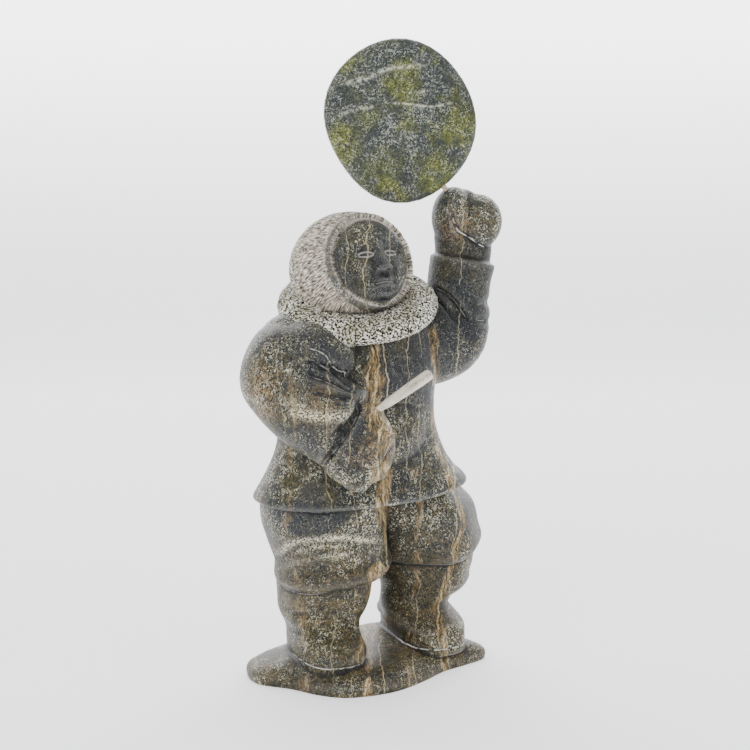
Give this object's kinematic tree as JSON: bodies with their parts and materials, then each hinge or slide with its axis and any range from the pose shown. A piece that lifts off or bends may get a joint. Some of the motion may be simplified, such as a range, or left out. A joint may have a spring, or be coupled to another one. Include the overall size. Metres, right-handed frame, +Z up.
{
  "type": "drum dancer carving",
  "caption": "Carved serpentine figure of a drum dancer in a hooded parka on its own base, holding up a stone drum, with an antler beater.",
  "frame": {"origin": "on the base's flat underside, below the middle of the figure", "axes": "+Z up, the figure faces -Y, its left side (the raised arm and the drum) is at +X"},
  "size_m": [0.1787, 0.1178, 0.3879],
  "materials": {
    "dark_serpentine": "satin",
    "green_serpentine": "satin",
    "antler": "satin"
  },
  "bodies": {
    "root": {"figure": "dark_serpentine", "drum": "green_serpentine", "drum_handle": "antler", "beater": "antler"}
  },
  "joints": []
}
